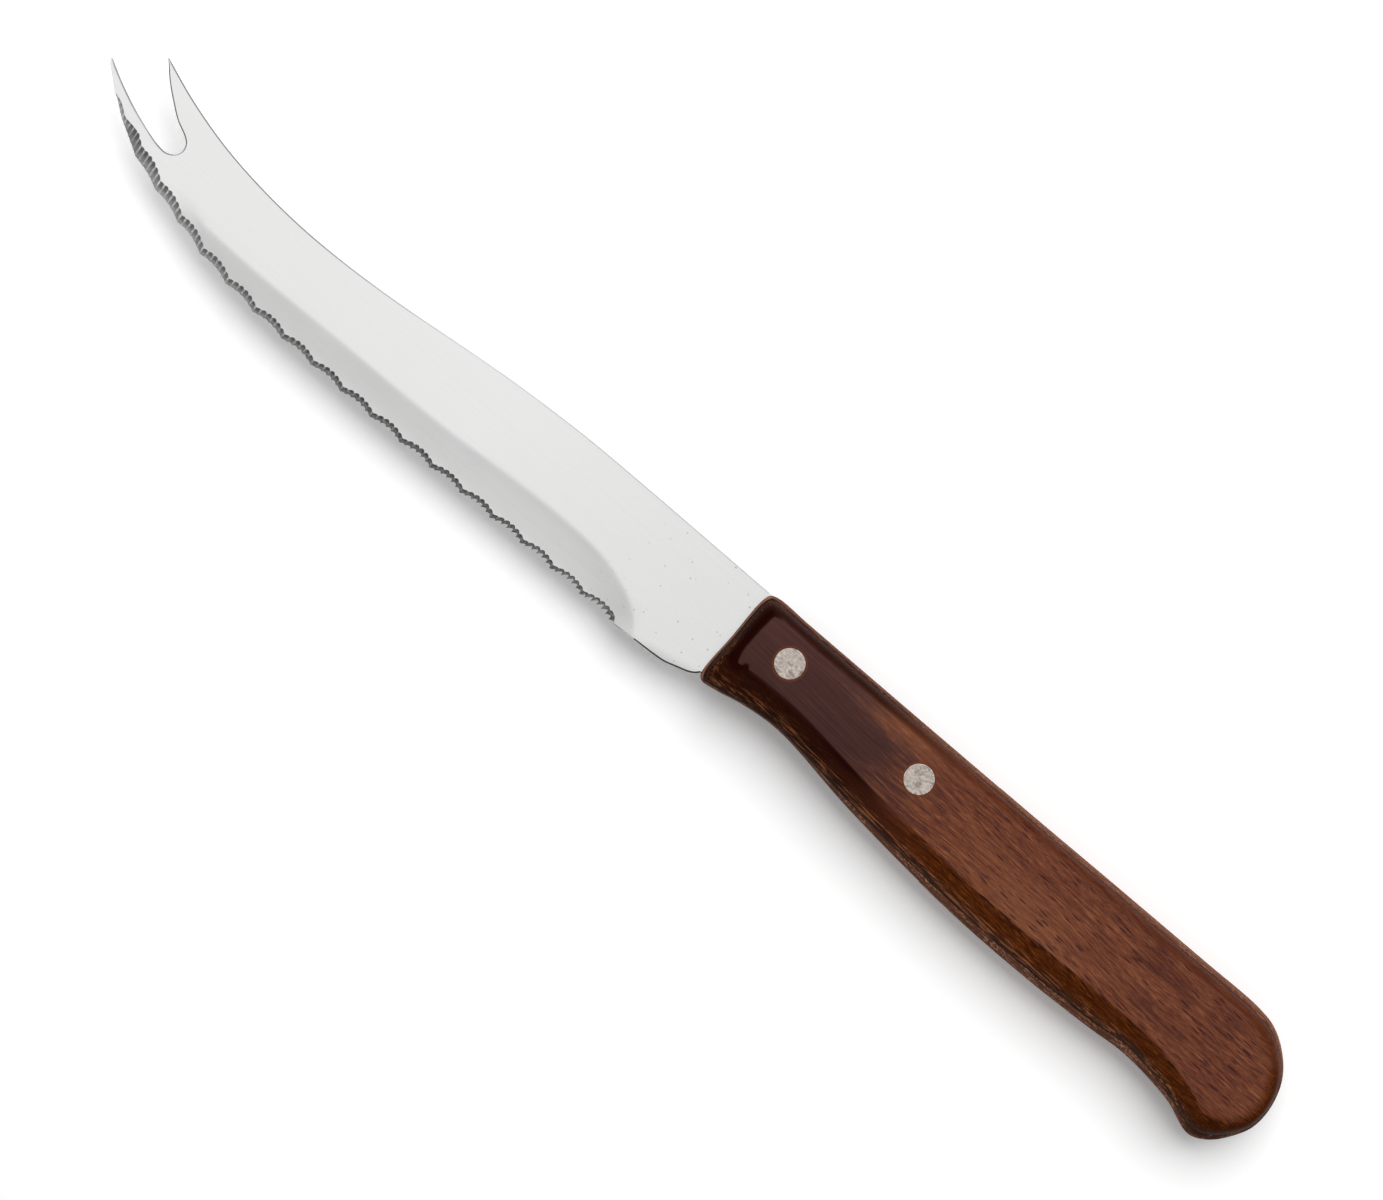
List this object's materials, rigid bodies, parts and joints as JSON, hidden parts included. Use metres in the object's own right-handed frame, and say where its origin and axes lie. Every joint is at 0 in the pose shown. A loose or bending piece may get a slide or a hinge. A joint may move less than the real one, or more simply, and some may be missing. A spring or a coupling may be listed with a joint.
{
  "type": "cheese knife",
  "caption": "Cheese knife with a forked, hollow-ground, serrated blade and a half tang riveted into a shaped wooden handle.",
  "frame": {"origin": "under the middle of the whole knife, on the flat handle face that it lies on", "axes": "+X along the handle to its butt, +Y towards the spine of the blade, +Z out of the serrated face of the blade"},
  "size_m": [0.24, 0.024, 0.013],
  "materials": {
    "steel": "fine lengthwise grind on the flats, coarser grind marks in the hollow grind and the serration",
    "handle_wood": "dark reddish-brown compressed wood with fine flecks along the grain and a soft lacquer sheen",
    "rivet_metal": "sanded flush with the wood, mottled with small dark pits"
  },
  "bodies": {
    "root": {"blade": "steel", "handle": "handle_wood", "rivet_front": "rivet_metal", "rivet_rear": "rivet_metal"}
  },
  "joints": []
}
